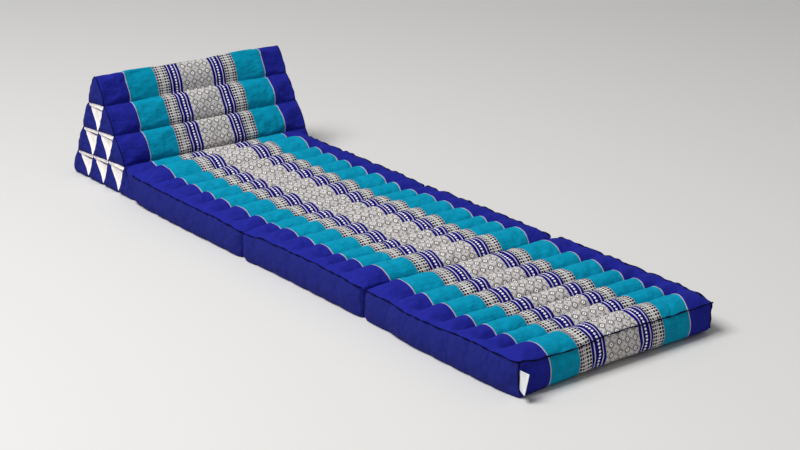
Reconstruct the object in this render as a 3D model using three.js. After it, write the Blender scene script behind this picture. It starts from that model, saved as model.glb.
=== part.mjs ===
// Thai triangle cushion: a three-fold mat with a triangular back rest, in millimetres, +Z up.
// X runs along the laid-out mats, from the back rest (-X) to the free end (+X). Y runs across.
// Every piece is filled cloth, so each is a closed solid with its sewn channels, crowns and tucks.
import * as THREE from 'three';
import { mergeVertices } from 'three/addons/utils/BufferGeometryUtils.js';

// Driving sizes
const WIDTH = 520;               // mat width, seam to seam
const SEAM_HEIGHT = 67;          // height of the top edge seam over the floor
const BORDER = 74;               // blue border, from the edge seam to the pale line
const GAP = 0.4;                 // clear space between two pieces that are sewn together
const HINGE_TOP = -935;          // X of the sewn hinge between mat 1 and mat 2, at the top
const HINGE_FLOOR = -480.2;      // X of the sewn hinge between mat 2 and mat 3, at the floor
const HINGE_NOTCH = 11;          // opening of that second hinge at the top

// Back rest: a prism of ten stuffed tubes, in rows of 1, 2, 3 and 4
const REST = {
  backFoot: -1734.7, apex: -1602.1, frontFoot: -1425.8,
  rowHeights: [272, 205, 140, 73, 6],
  halfWidth: 270, shift: 13.5,
  rollBulge: 12, pressedBulge: 0.8, floorBulge: 6,
  endDome: 9, recess: 6,
  taperFrom: 0.62, endBulgeShare: 0.55,   // the rolls slim down from this share of the half width
};
const STEPS_PER_ROLL = 6;
const REST_STATIONS = [-1, -0.93, -0.8, -0.62, 0, 0.62, 0.8, 0.93, 1];
const ROUND = 2.4;               // power of a stuffed roll's outline
const PRESSED = 8;               // power of an outline that the floor presses flat

// Mats: one row for each channel, with its length along X and its crown over the seams
const MATS = [
  {
    name: 'mat_1', shift: -5, start: 'leaning', end: 'topHinge', endX: HINGE_TOP - GAP / 2,
    channels: [
      { length: 45, crown: 4 }, { length: 94, crown: 17 }, { length: 59, crown: 9 },
      { length: 68, crown: 8 }, { length: 59, crown: 8 }, { length: 69, crown: 8 },
      { length: 80, crown: 9 }, { length: 62.7, crown: 8 },
    ],
  },
  {
    name: 'mat_2', shift: -4, start: 'topHinge', end: 'floorHinge', endX: HINGE_FLOOR - GAP / 2,
    channels: [
      { length: 50.2, crown: 5 }, { length: 68, crown: 8 }, { length: 63, crown: 8 },
      { length: 70, crown: 8 }, { length: 52, crown: 7 }, { length: 62, crown: 9 },
      { length: 89, crown: 16 },
    ],
  },
  {
    name: 'mat_3', shift: 2, start: 'floorHinge', end: 'free', endX: 0,
    channels: [
      { length: 85, crown: 11 }, { length: 65, crown: 8 }, { length: 74, crown: 9 },
      { length: 60, crown: 8 }, { length: 60, crown: 8 }, { length: 58, crown: 8 },
      { length: 78, crown: 13 },
    ],
  },
];
const VALLEY_RISE = 4;           // the channel seams lie this much over the edge seam
const LEAN_RISE = 8;             // the first strip climbs this much towards the back rest
const LEAN_REACH = 1.6;          // lengths of that strip over which its edge seam climbs
const CORNER = 8;                // power with which a wall's belly fades at a corner seam
const FLOOR_GROOVE = 3;          // depth of the channel seams in the underside

// Side walls of a mat, from the top seam down: height is a share of the wall's height, and
// each other column is how far that kind of wall stands out from its seam line
const WALL_LEVELS = [
  { height: 1.00, side: 0, free: 0, topHinge: 0, floorHinge: -HINGE_NOTCH / 2, leaning: 0 },
  { height: 0.78, side: 5, free: 5, topHinge: -1, floorHinge: -3, leaning: 0 },
  { height: 0.48, side: 8, free: 8, topHinge: -2, floorHinge: -2, leaning: 0 },
  { height: 0.20, side: 6, free: 5, topHinge: -2.5, floorHinge: -0.5, leaning: 0 },
  { height: 0.06, side: -2, free: -3, topHinge: -4, floorHinge: 0, leaning: -1 },
  { height: 0.00, side: -13, free: -14, topHinge: -12, floorHinge: -6, leaning: -10 },
];
const ACROSS = [-1, -0.95, -0.86, -0.71, -0.36, 0, 0.36, 0.71, 0.86, 0.95, 1];
const ALONG_CHANNEL = [0.2, 0.5, 0.8, 1];

// Blank sewn-in label at the near corner of the free end
const LABEL = { length: 30, height: 41, thick: 1.2, bottom: 16, bend: 10, droop: 3, steps: 6 };

const CLOTH = {
  blue: new THREE.MeshStandardMaterial({ color: 0x2a2aa0, roughness: 0.85, metalness: 0 }),
  cotton: new THREE.MeshStandardMaterial({ color: 0xe9e2d4, roughness: 0.9, metalness: 0 }),
  tape: new THREE.MeshStandardMaterial({ color: 0xf2f2f0, roughness: 0.7, metalness: 0 }),
};

const point = (x, y, z) => new THREE.Vector3(x, y, z);
const mix = (a, b, t) => a + (b - a) * t;
const crownShape = (u, power = ROUND) => 1 - Math.abs(2 * u - 1) ** power;
const ease = (t) => 1 - (1 - Math.min(1, Math.max(0, t))) ** ROUND;

// A closed skin gathered from patches that share their border points
class Skin {
  constructor() {
    this.positions = [];
  }

  triangle(a, b, c) {
    for (const p of [a, b, c]) this.positions.push(p.x, p.y, p.z);
  }

  // Rows of points, each quad seen counter-clockwise from outside as row, next point, next row
  grid(rows) {
    for (let i = 0; i + 1 < rows.length; i++) {
      for (let j = 0; j + 1 < rows[i].length; j++) {
        this.triangle(rows[i][j], rows[i][j + 1], rows[i + 1][j + 1]);
        this.triangle(rows[i][j], rows[i + 1][j + 1], rows[i + 1][j]);
      }
    }
  }

  fan(ring, centre) {
    for (let i = 0; i + 1 < ring.length; i++) this.triangle(ring[i], ring[i + 1], centre);
  }

  mesh(name, material) {
    const geometry = new THREE.BufferGeometry();
    geometry.setAttribute('position', new THREE.Float32BufferAttribute(this.positions, 3));
    const welded = mergeVertices(geometry, 1e-3);
    welded.computeVertexNormals();
    const mesh = new THREE.Mesh(welded, material);
    mesh.name = name;
    return mesh;
  }
}

// Back rest section: seam points of a level, evenly spaced from the back slope to the front one
function seamPoint(level, index) {
  const rise = 1 - REST.rowHeights[level] / REST.rowHeights[0];
  const back = mix(REST.apex, REST.backFoot, rise);
  const front = mix(REST.apex, REST.frontFoot, rise);
  const share = level === 0 ? 0 : index / level;
  return { x: mix(back, front, share), z: REST.rowHeights[level] };
}

// One roll's outline between two seam points, bulging to the right of the way it runs
function rollOutline(from, to, bulge, flatOnFloor) {
  const length = Math.hypot(to.x - from.x, to.z - from.z);
  const outX = (to.z - from.z) / length;
  const outZ = -(to.x - from.x) / length;
  const points = [];
  for (let k = 0; k < STEPS_PER_ROLL; k++) {
    const u = k / STEPS_PER_ROLL;
    const out = bulge * crownShape(u, flatOnFloor ? PRESSED : ROUND);
    points.push({ x: mix(from.x, to.x, u) + outX * out, z: mix(from.z, to.z, u) + outZ * out });
  }
  return points;
}

// The whole outline, from the back foot along the floor, up the front and down the back
function restOutline(endShare) {
  const rows = REST.rowHeights.length - 1;
  const bulge = REST.rollBulge * mix(1, REST.endBulgeShare, endShare);
  const outline = [];
  for (let k = 0; k < rows; k++) {
    const floor = rollOutline(seamPoint(rows, k), seamPoint(rows, k + 1), REST.floorBulge, true);
    outline.push(...floor);
  }
  for (let level = rows; level > 0; level--) {
    const pressed = level === rows ? REST.pressedBulge : bulge;
    outline.push(...rollOutline(seamPoint(level, level), seamPoint(level - 1, level - 1), pressed));
  }
  for (let level = 0; level < rows; level++) {
    outline.push(...rollOutline(seamPoint(level, 0), seamPoint(level + 1, 0), bulge));
  }
  return outline;
}

// Border of one triangular cell of an end panel, as a closed ring of section points
function cellRing(corners, outline) {
  const ring = [];
  for (let side = 0; side < 3; side++) {
    const from = corners[side];
    const to = corners[(side + 1) % 3];
    const start = outline.findIndex((p) => Math.hypot(p.x - from.x, p.z - from.z) < 1e-6);
    const next = outline[(start + STEPS_PER_ROLL) % outline.length];
    const onEdge = start >= 0 && Math.hypot(next.x - to.x, next.z - to.z) < 1e-6;
    for (let k = 0; k < STEPS_PER_ROLL; k++) {
      const t = k / STEPS_PER_ROLL;
      ring.push(onEdge ? outline[start + k] : { x: mix(from.x, to.x, t), z: mix(from.z, to.z, t) });
    }
  }
  ring.push(ring[0]);
  return ring;
}

function cellCentre(corners) {
  const sum = (key) => corners.reduce((total, corner) => total + corner[key], 0);
  return { x: sum('x') / 3, z: sum('z') / 3 };
}

// Cells of an end panel: up cells are tube ends, down cells are the white gussets between them
function restCells() {
  const cells = [];
  for (let level = 1; level < REST.rowHeights.length; level++) {
    for (let k = 0; k < level; k++) {
      const top = seamPoint(level - 1, k);
      cells.push({ up: true, corners: [top, seamPoint(level, k), seamPoint(level, k + 1)] });
      if (k > 0) {
        const left = seamPoint(level - 1, k - 1);
        cells.push({ up: false, corners: [left, seamPoint(level, k), top] });
      }
    }
  }
  return cells;
}

// Rings of a cell, shrunk towards its centre: scale is the size and out is the height on the end
const UP_RINGS = [
  { scale: 1, out: 0 }, { scale: 0.82, out: 0.55 }, { scale: 0.45, out: 0.93 },
];
const DOWN_RINGS = [
  { scale: 1, out: 0 }, { scale: 0.9, out: -0.75 }, { scale: 0.5, out: -0.95 },
];
const GUSSET_INNER = [{ scale: 0.87, out: -4.0 }, { scale: 0.5, out: -5.2 }];
const GUSSET_OUTER = [{ scale: 0.92, out: -1.9 }, { scale: 0.8, out: -1.4 }, { scale: 0.5, out: -2.9 }];
const GUSSET_CENTRE = { inner: -5.5, outer: -3.3 };

function placeRing(ring, centre, scale, out, end) {
  const y = REST.shift + end * (REST.halfWidth + out);
  return ring.map((p) => point(mix(centre.x, p.x, scale), y, mix(centre.z, p.z, scale)));
}

// A ring seen from +Y runs the other way round, so that end's rows are swapped
const facing = (rows, end) => (end < 0 ? rows : rows.map((row) => [...row].reverse()));

function backRest() {
  const skin = new Skin();
  const rings = REST_STATIONS.map((share) => {
    const endShare = (Math.abs(share) - REST.taperFrom) / (1 - REST.taperFrom);
    const outline = restOutline(Math.max(0, endShare));
    const ring = outline.map((p) => point(p.x, REST.shift + share * REST.halfWidth, p.z));
    return [...ring, ring[0]];
  });
  skin.grid(rings.map((ring) => [...ring].reverse()));
  const outline = restOutline(1);
  for (const end of [-1, 1]) {
    for (const cell of restCells()) {
      const ring = cellRing(cell.corners, outline);
      const centre = cellCentre(cell.corners);
      const depth = cell.up ? REST.endDome : REST.recess;
      const steps = cell.up ? UP_RINGS : DOWN_RINGS;
      const rows = steps.map((s) => placeRing(ring, centre, s.scale, s.out * depth, end));
      const tip = placeRing([centre], centre, 1, cell.up ? depth : -depth, end)[0];
      const turned = facing(rows, end);
      skin.grid(turned);
      skin.fan(turned[turned.length - 1], tip);
    }
  }
  return skin.mesh('triangle_back_rest', CLOTH.blue);
}

// A white gusset is a thin panel lying in its recess, clear of the tubes round it
function gusset(cell, end, name) {
  const skin = new Skin();
  const straight = cellRing(cell.corners, []);
  const centre = cellCentre(cell.corners);
  const rings = (steps) => steps.map((s) => placeRing(straight, centre, s.scale, s.out, end));
  const outer = rings(GUSSET_OUTER);
  const inner = rings(GUSSET_INNER);
  const outward = facing([inner[0], ...outer], end);
  skin.grid(outward);
  skin.fan(outward[outward.length - 1], placeRing([centre], centre, 1, GUSSET_CENTRE.outer, end)[0]);
  const inward = facing([...inner].reverse(), end);
  skin.grid(inward);
  skin.fan([...inward[0]].reverse(), placeRing([centre], centre, 1, GUSSET_CENTRE.inner, end)[0]);
  return skin.mesh(name, CLOTH.cotton);
}

// X of the leaning face between mat 1 and the lowest roll, at a height
function leaningFace(z) {
  const foot = seamPoint(4, 4);
  const crease = seamPoint(3, 3);
  const slope = (crease.x - foot.x) / (crease.z - foot.z);
  return foot.x + (z - foot.z) * slope + REST.pressedBulge + GAP * 1.5;
}

// A box mat: crowned top and grooved underside, joined by the walls' levels
function mat(row) {
  const half = WIDTH / 2;
  const along = [0];
  const crowns = [{ channel: 0, u: 0 }];
  row.channels.forEach((channel, index) => {
    const from = along[along.length - 1];
    for (const u of ALONG_CHANNEL) {
      along.push(from + channel.length * u);
      crowns.push({ channel: index, u });
    }
  });
  const length = along[along.length - 1];
  const startX = row.endX - length;
  const last = along.length - 1;
  const leans = row.start === 'leaning';

  // Height of the edge seam, which climbs a little where mat 1 meets the back rest
  const leanShare = (x) => (leans ? Math.max(0, 1 - x / (row.channels[0].length * LEAN_REACH)) : 0);
  const seamHeight = (x) => SEAM_HEIGHT + LEAN_RISE * leanShare(x);

  function topHeight(i, j) {
    const inside = ease((half - Math.abs(ACROSS[j] * half)) / BORDER);
    const { channel, u } = crowns[i];
    const atEnd = i === 0 || i === last;
    const valley = atEnd ? 0 : VALLEY_RISE * inside;
    const crown = row.channels[channel].crown * crownShape(u) * inside;
    return seamHeight(along[i]) + valley + crown;
  }

  // Where a grid point lies on one level of the wall, or on the floor
  function levelPoint(level, i, j) {
    const share = along[i] / length;
    const z = seamHeight(along[i]) * level.height;
    const kind = share < 0.5 ? row.start : row.end;
    const cornerY = Math.abs(ACROSS[j]) ** CORNER;
    const cornerX = Math.abs(2 * share - 1) ** CORNER;
    let outX = level[kind];
    if (outX > 0 && kind === 'free') outX *= 1 - cornerY;
    const outY = level.side > 0 ? level.side * (1 - cornerX) : level.side;
    const sign = share < 0.5 ? -1 : 1;
    const towardsEnd = Math.abs(2 * share - 1);
    let x = startX + along[i] + sign * outX * towardsEnd;
    if (leans && share < 0.5 && level.height < 1) x += (leaningFace(z) - startX) * towardsEnd;
    return point(x, row.shift + ACROSS[j] * (half + outY), z);
  }

  const top = along.map((_, i) => ACROSS.map((_, j) => {
    const p = levelPoint(WALL_LEVELS[0], i, j);
    return point(p.x, p.y, topHeight(i, j));
  }));
  const floorLevel = WALL_LEVELS[WALL_LEVELS.length - 1];
  const floor = along.map((_, i) => ACROSS.map((_, j) => {
    const p = levelPoint(floorLevel, i, j);
    const border = i === 0 || i === last || j === 0 || j === ACROSS.length - 1;
    const onSeam = crowns[i].u === 1 && !border;
    return point(p.x, p.y, onSeam ? FLOOR_GROOVE : 0);
  }));

  // The wall's ring of grid places, counter-clockwise seen from above
  const ring = [];
  for (let i = 0; i < last; i++) ring.push([i, 0]);
  for (let j = 0; j < ACROSS.length - 1; j++) ring.push([last, j]);
  for (let i = last; i > 0; i--) ring.push([i, ACROSS.length - 1]);
  for (let j = ACROSS.length - 1; j > 0; j--) ring.push([0, j]);
  ring.push([0, 0]);
  const walls = WALL_LEVELS.map((level) => ring.map(([i, j]) => {
    if (level === WALL_LEVELS[0]) return top[i][j];
    return level === floorLevel ? floor[i][j] : levelPoint(level, i, j);
  }));

  const skin = new Skin();
  skin.grid(top.map((line) => [...line].reverse()));
  skin.grid(floor);
  skin.grid([...walls].reverse());
  return skin.mesh(row.name, CLOTH.blue);
}

// The label is a strip of tape in the corner seam, its lower end bent to the near side
function label() {
  const skin = new Skin();
  const nearSide = MATS[2].shift - WIDTH / 2;
  const strip = (side) => {
    const rows = [];
    for (let i = 0; i <= LABEL.steps; i++) {
      const u = i / LABEL.steps;
      const line = [];
      for (let k = 0; k <= LABEL.steps; k++) {
        const v = k / LABEL.steps;
        const bend = LABEL.bend * u * (1 - v) ** 2;
        line.push(point(GAP + u * LABEL.length, nearSide + side * LABEL.thick / 2 - bend,
          LABEL.bottom - LABEL.droop * u + v * LABEL.height));
      }
      rows.push(line);
    }
    return rows;
  };
  const near = strip(-1);
  const far = strip(1);
  skin.grid([...near].reverse());
  skin.grid(far);
  const rim = (rows) => {
    const n = LABEL.steps;
    const ring = [];
    for (let i = 0; i < n; i++) ring.push(rows[i][0]);
    for (let k = 0; k < n; k++) ring.push(rows[n][k]);
    for (let i = n; i > 0; i--) ring.push(rows[i][n]);
    for (let k = n; k > 0; k--) ring.push(rows[0][k]);
    ring.push(rows[0][0]);
    return ring;
  };
  skin.grid([rim(far), rim(near)]);
  return skin.mesh('label', CLOTH.tape);
}

const cushion = new THREE.Group();
cushion.add(backRest());
for (const row of MATS) cushion.add(mat(row));
const gussetCells = restCells().filter((cell) => !cell.up);
for (const [side, end] of [['near', -1], ['far', 1]]) {
  gussetCells.forEach((cell, index) => cushion.add(gusset(cell, end, `gusset_${side}_${index + 1}`)));
}
cushion.add(label());

// The origin is the middle of the footprint, on the floor
const box = new THREE.Box3().setFromObject(cushion);
const middle = box.getCenter(new THREE.Vector3());
cushion.position.set(-middle.x, -middle.y, -box.min.z);

export default cushion;
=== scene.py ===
import math

import bpy
import numpy as np
from bpy.props import FloatProperty, FloatVectorProperty, IntProperty, PointerProperty
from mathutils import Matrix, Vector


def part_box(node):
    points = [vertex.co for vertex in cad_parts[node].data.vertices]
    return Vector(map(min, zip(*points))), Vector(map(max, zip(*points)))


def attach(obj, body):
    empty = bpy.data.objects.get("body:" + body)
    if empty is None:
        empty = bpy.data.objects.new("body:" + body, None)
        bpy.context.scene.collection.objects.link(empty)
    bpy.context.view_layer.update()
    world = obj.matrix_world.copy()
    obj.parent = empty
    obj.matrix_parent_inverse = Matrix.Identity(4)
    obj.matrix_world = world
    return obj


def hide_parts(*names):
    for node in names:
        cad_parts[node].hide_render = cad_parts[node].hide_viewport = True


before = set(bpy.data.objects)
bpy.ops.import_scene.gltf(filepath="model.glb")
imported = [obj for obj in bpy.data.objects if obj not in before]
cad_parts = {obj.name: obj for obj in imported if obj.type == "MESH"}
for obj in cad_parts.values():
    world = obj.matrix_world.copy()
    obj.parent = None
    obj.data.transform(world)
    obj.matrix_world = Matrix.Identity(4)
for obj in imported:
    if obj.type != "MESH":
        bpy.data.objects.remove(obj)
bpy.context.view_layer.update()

bl_info = {
    "name": "Thai triangle cushion",
    "version": (1, 0, 0),
    "blender": (4, 5, 0),
    "location": "View3D > Sidebar > Thai cushion",
    "description": "Builds a stuffed triangular back rest with three fold-out mats in banded woven cloth",
    "category": "Add Mesh",
}

# Sizes here are millimetres from the free end's edge seam and the mats' middle line, as the
# maker's pattern has them. The frame says where that point lies.
SEAM_GAP = 0.4
SEAT_SHIFT = 13.5
REST_LOW, REST_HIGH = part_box("triangle_back_rest")
FREE_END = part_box("label")[0][0] - SEAM_GAP / 1000
MIDDLE = (REST_LOW[1] + REST_HIGH[1]) / 2 - SEAT_SHIFT / 1000

# The mats' shape, in mm, with the powers of the rounded outlines
WIDTH = 520
HALF = WIDTH / 2
SEAM_HEIGHT = 67
BORDER = 74
VALLEY_RISE = 4
LEAN_RISE = 8
LEAN_REACH = 1.6
ROUND = 2.4
FULLNESS = 0.75
PRESSED = 8
CORNER = 8
HINGE_TOP = -935
HINGE_FLOOR = -480.2
HINGE_NOTCH = 11
# How much closer the mesh lies at a channel's ends and at a mat's sides, and rings of a wall
GATHER = {"ends": 0.55, "sides": 0.35}
WALL_STEPS = 13

# The back rest's shape: rows of 1, 2, 3 and 4 stuffed tubes. Its seams lie on straight lines
# from the apex to both feet, a little lower at the back than at the front. Towards the far end
# every height shrinks by the settled share.
REST = {
    "settled": 0.022,
    "back_foot": -1734.7, "apex": -1602.1, "front_foot": -1425.8, "height": 272, "half": 270,
    "front": (278, 210, 144, 77, 6), "back": (278, 203, 132, 62, 6),
    "bulge": 12, "pressed": 0.8, "floor": 6, "dome": 9, "recess": 6,
    "taper_from": 0.72, "end_bulge": 0.6, "dip": 4, "dome_power": 3.6, "roll": 80,
}
# A gusset's recess in the end panel: sizes of its rings, and shares of its depth
RECESS = {"size": (1, 0.96, 0.9, 0.7, 0.4, 0), "depth": (0, 0.35, 0.8, 0.95, 1, 1)}
ROWS = len(REST["front"]) - 1

# One row for each mat; each channel is (length along the mat, crown over its seams). A seam
# between two channels sits this far over the edge seams. The bands' middle line is set off
# from the mat's at its start and end, and each wall has one upright join. The near and far edge
# seams stand out, and up, by these at even steps along the mat.
MATS = (
    {"name": "mat_1", "shift": -5, "start": "leaning", "end": "top_hinge",
     "end_x": HINGE_TOP - SEAM_GAP / 2, "bands": (9, -1), "join": -1305,
     "channels": ((45, 4), (94, 17), (59, 9), (68, 8), (59, 8), (69, 8), (80, 9), (62.7, 8)),
     "seams": (1, 1, 0, -1, -2, -3, -4),
     "near": ((0, 2, 3, 3, 1, 2), (0, 1, 0, 0, 0, -3)),
     "far": ((0, 3, 4, 3, 3, 0), (0, 1, 1, 1, 1, -1))},
    {"name": "mat_2", "shift": -4, "start": "top_hinge", "end": "floor_hinge",
     "end_x": HINGE_FLOOR - SEAM_GAP / 2, "bands": (4, 5), "join": -830,
     "channels": ((50.2, 5), (68, 8), (63, 8), (70, 8), (52, 7), (62, 9), (89, 16)),
     "seams": (0, 1, 1, -2, 0, 0),
     "near": ((4, -2, -3, -3, -3, -2), (-4, 2, 3, 5, 3, 0)),
     "far": ((0, 3, 4, 4, 4, 2), (-1, 1, 1, 2, 1, 0))},
    {"name": "mat_3", "shift": 2, "start": "floor_hinge", "end": "free", "end_x": 0,
     "channels": ((85, 11), (65, 8), (74, 9), (60, 8), (60, 8), (58, 8), (78, 13)),
     "bands": (3, 2), "join": -345, "seams": (-5, -8, -11, -9, -6, -3),
     "near": ((4, 3, 11, 10, 10, 9, 4), (0, 0, -1, 1, 7, 7, 0)),
     "far": ((4, 5, 6, 5, 6, 5, -5), (1, 2, 2, 2, 2, 2, 0))},
)
# The free end's seam stands up by these at even steps from the near side to the far side, and
# its foot stands out by these, which fades up the wall by a power
FREE_UP = (8, 0, -2, -3, 3, 4, 2, 0, -1, -1, 0)
FREE_FOOT = (21, 13, 3, -2, 2, 5, 5)
FOOT_POWER = 9
# Both walls at a hinge follow it aside by these at the near and the far side
SLANT = {"floor_hinge": (-10, 2), "top_hinge": (-2, 1), "free": (0, 0), "leaning": (0, 0)}
# The edge seams scallop with the channels. From the side inwards, a valley deepens and its crease
# sharpens over these distances
SCALLOP = {"height": 2.2, "middle": 0.6}
FADE = (3, 52)
CREASE = (12, 38)
# Small pleats in the borders and round the rolls' ends, and the dent of a wall's upright join
PLEAT = {"height": 0.8, "pitch": 3.9, "sway": 23, "from_side": 30, "spread": 16, "round": 56}
DENT = {"depth": 1.2, "spread": 5}
# The bands spread apart by this share over a mat's middle, by this power
BAND_SPREAD = {"share": 0.035, "power": 6}

# A gusset: a dish, a lip over a furrow along its top edge, folds down to its point, and the
# front ones' flare. A lip or furrow is its height, and what it gains towards the front
GUSSET = {
    "rings": (1.0, 0.96, 0.92, 0.88, 0.84, 0.8, 0.75, 0.68, 0.58, 0.46, 0.32, 0.16, 0.0),
    "steps": 14, "rim": -0.6, "dish": 3.6,
    "lip": (3.5, 2.5, 3.0), "lip_at": 3.6, "lip_spread": 2.2,
    "furrow": (1.6, 4.4), "furrow_at": 9.0, "furrow_spread": 2.8,
    "fold": 0.55, "fold_rate": 21, "fold_from": (12, 32),
    "flare": (5, -2, 3), "flare_spread": 9, "tip": 3.5, "tip_spread": 14,
}
# An edge seam: shares of its width by which it wanders, rises and thickens, what its width is
# divided by for its two half axes, and its waves as share, length and start
SEAM = {"step": 3.0, "wander": 0.2, "rise": 0.22, "swell": 0.35, "wide": 2.6, "high": 2.0}
SEAM_WAVES = ((0.45, 17, 1.3), (0.3, 7.3, 0), (0.25, 4.1, 0))
# The blank label: its reach from the corner seam, its height and foot, and how it bends
LABEL = {"length": 26, "height": 41, "bottom": 17, "bend": 10, "ripple": 0.8}

# Plan rounding of the mats' corners: reach along both edges
CORNER_REACH = {"free": 5, "floor_hinge": 13, "top_hinge": 9, "leaning": 40}
CORNER_POWER = 3

# Bands from the middle line outwards: where each starts, and its yarn
BANDS = ((0, "ground"), (45, "navy"), (51.8, "line"), (54.2, "navy"), (72.7, "line"), (75.1, "navy"),
         (82, "check"), (107, "blush"), (113.5, "turquoise"), (186.5, "edge"), (189.8, "blue"),
         (261, "wall"))
PATTERN = {"dot_line": 63.4, "dot_pitch": 7.3, "dot": (2.7, 2.45), "check": (82, 113.5),
           "columns": 5, "dash_wide": (0.10, 0.90), "dash_tall": (0.13, 0.82), "plain_column": 2,
           "diamond": (21.7, 22.0)}
REST_BANDS = {"offset": 7.5, "on_rest": (0, 82, 116, 198, 275), "on_mat": (0, 82, 113.5, 186, 262)}
# The furthest that the bands' colours reach from the middle line, in metres
BANDS_REACH = 0.3

# The cloth's noises as rates along and across the cloth, per metre, and what each adds. The crumple's
# shade is partly a mottled tone and partly painted shade, darker in the crumples' hollows
WEAVE = {"warp": (900.0, 22.0), "weft": (18.0, 700.0), "crumple": (75.0, 45.0),
         "weft_share": 0.6, "thread_height": 0.5, "crumple_height": 32.0, "crumple_shade": 1.8}
# Shade and roughness as a gain and a start, the shade holding the slubs' tone and the crumples' painted
# shade, relief as a strength and a height in metres, the stitches' slant as rates per metre and their
# yarn as shares of navy, a tenth in the grooves and three tenths on the crests: painted shade and a
# painted highlight, both darker than the navy thread as painted shade of the seam's crease, and how much
# all shine
CLOTH = {"shade": (0.30, 0.76), "rough": (0.12, 0.77), "bump": 0.35, "height": 0.0004}
OVERLOCK = {"slant": (1500.0, 500.0), "yarn": (0.1, 0.3), "rough": (-0.1, 0.9), "bump": 0.5,
            "height": 0.0006}
DULL = 0.08

# Walls from the top seam down: share of the wall's height, then how far each kind of wall
# stands out from its seam line
WALL = {
    "height": (1.0, 0.78, 0.48, 0.20, 0.07, 0.0),
    "near": (0, 4, 7, 7, 5, -1),
    "far": (0, 4, 6, 4, -2, -9),
    "free": (0, 5, 8, 6, 0, -20),
    "top_hinge": (0, -1, -2, -2.5, -4, -12),
    "floor_hinge": (-HINGE_NOTCH / 2, -3, -2, -0.5, 0, -6),
    "leaning": (0, 0, 0, 0, -1, -10),
}

# Camera at the photograph's place, in the mats' own frame
CAMERA = {
    "place": (2453.1, -2431.0, 1525.9), "turn": 52.39, "down": 19.83, "lens": 85.9, "sensor": 36,
}
# The large soft light, in metres in the frame, aimed at the middle of the floor, the colour of
# the light from all round, and the floor's half width in metres and roughness
KEY = {"place": (-0.4, -2.9, 5.1), "size": 2.9}
ROOM = (0.98, 0.99, 1.0, 1)
FLOOR = {"reach": 30.0, "roughness": 0.6}


def metres(name, description, value, **limits):
    """A length property, in metres."""
    return FloatProperty(
        name=name, description=description, default=value, unit="LENGTH", **limits)


def tint(name, description, value):
    """A colour property."""
    return FloatVectorProperty(
        name=name, description=description, subtype="COLOR", default=value, min=0, max=1)


class CushionSizes(bpy.types.PropertyGroup):
    """Sizes of the mesh, the filling and the weave."""

    step: metres("Mesh step", "Spacing of the cloth's mesh points", 0.0062, min=0.003, max=0.02)
    pressure: FloatProperty(
        name="Filling", description="Pressure of the kapok filling on the cloth", default=5.0)
    slack: FloatProperty(
        name="Slack", description="Share by which the cloth is larger than its seams' span",
        default=0.02)
    swell: metres("Swell", "Most that the filling moves a point of the cloth", 0.006)
    frames: IntProperty(
        name="Settling", description="Frames of the cloth simulation", default=20)
    thread: metres("Thread", "Width of one thread of the weave", 0.0011)
    seam: metres("Seam", "Width of an overlocked edge seam", 0.0033)


class CushionColours(bpy.types.PropertyGroup):
    """Colours of the yarns."""

    blue: tint("Royal blue", "Borders", (0.013, 0.017, 0.255))
    wall: tint("Wall blue", "Walls and tube ends", (0.0135, 0.018, 0.175))
    turquoise: tint("Turquoise", "Wide bands", (0.0, 0.26, 0.41))
    navy: tint("Navy", "Narrow stripes and edge seams", (0.006, 0.003, 0.15))
    line: tint("Pale line", "Fine lines in the navy stripes", (0.62, 0.60, 0.70))
    edge: tint("Edge line", "Fine line beside the blue border", (0.50, 0.42, 0.47))
    ground: tint("Ground", "Ground of the middle band", (0.62, 0.595, 0.585))
    bright: tint("White yarn", "Dots and motif hearts", (0.95, 0.92, 0.89))
    check: tint("Check yarn", "Light ground of the check", (0.72, 0.70, 0.69))
    blush: tint("Blush yarn", "Pinkish white beside the turquoise", (0.55, 0.46, 0.48))
    dark: tint("Dark yarn", "Dashes and motif outlines", (0.020, 0.014, 0.016))
    cotton: tint("Cotton", "Undyed gussets", (0.92, 0.865, 0.825))
    tape: tint("Tape", "Blank label", (0.70, 0.70, 0.71))


class CushionStage(bpy.types.PropertyGroup):
    """Floor and light."""

    floor: tint("Floor", "Plain pale floor", (0.69, 0.68, 0.665))
    key: FloatProperty(
        name="Key light", description="Power of the large soft light", default=365, unit="POWER")
    sky: FloatProperty(
        name="Room light", description="Strength of the even light from all round", default=0.29)


def to_world(points):
    """Millimetres from the free end and the middle line become metres in the frame."""
    return np.asarray(points, float) / 1000 + np.array([FREE_END, MIDDLE, 0.0])


def mix(a, b, t):
    """a where t is 0, b where t is 1, and straight between them."""
    return a + (b - a) * t


def smooth_step(t):
    """Rises from 0 to 1 with level ends: t * t * (3 - 2t)."""
    return t * t * (3 - 2 * t)


def over(distance, span):
    """0 before the span, 1 after it, and straight between."""
    return np.clip((distance - span[0]) / (span[1] - span[0]), 0, 1)


def bell(distance, width):
    """1 at no distance, and e to minus the square of distance over width further off."""
    return np.exp(-((distance / width) ** 2))


def crown(u, power=ROUND):
    """A stuffed roll's height over its chord: 1 - |2u - 1| to a power, for u from 0 to 1."""
    return 1 - np.abs(2 * u - 1) ** power


def roll(u):
    """A stuffed roll between two stitched seams: the crown to a power below 1, steep at them."""
    return np.maximum(crown(u), 0) ** FULLNESS


def ease(t):
    """Rises steeply from 0 and flattens at 1: 1 - (1 - t) to a power, with t held to 0..1."""
    return 1 - (1 - np.clip(t, 0, 1)) ** ROUND


def flow(values, share):
    """A smooth run through evenly spaced values, for shares from 0 to 1."""
    values = np.asarray(values, float)
    place = np.clip(share, 0, 1) * (len(values) - 1)
    index = np.minimum(place.astype(int), len(values) - 2)
    part = place - index
    return mix(values[index], values[index + 1], smooth_step(part))


def arc_lengths(points):
    """Running length along each row of points, from 0 at the first."""
    steps = np.linalg.norm(np.diff(points, axis=-2), axis=-1)
    return np.concatenate([np.zeros(steps.shape[:-1] + (1,)), np.cumsum(steps, axis=-1)], axis=-1)


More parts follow.
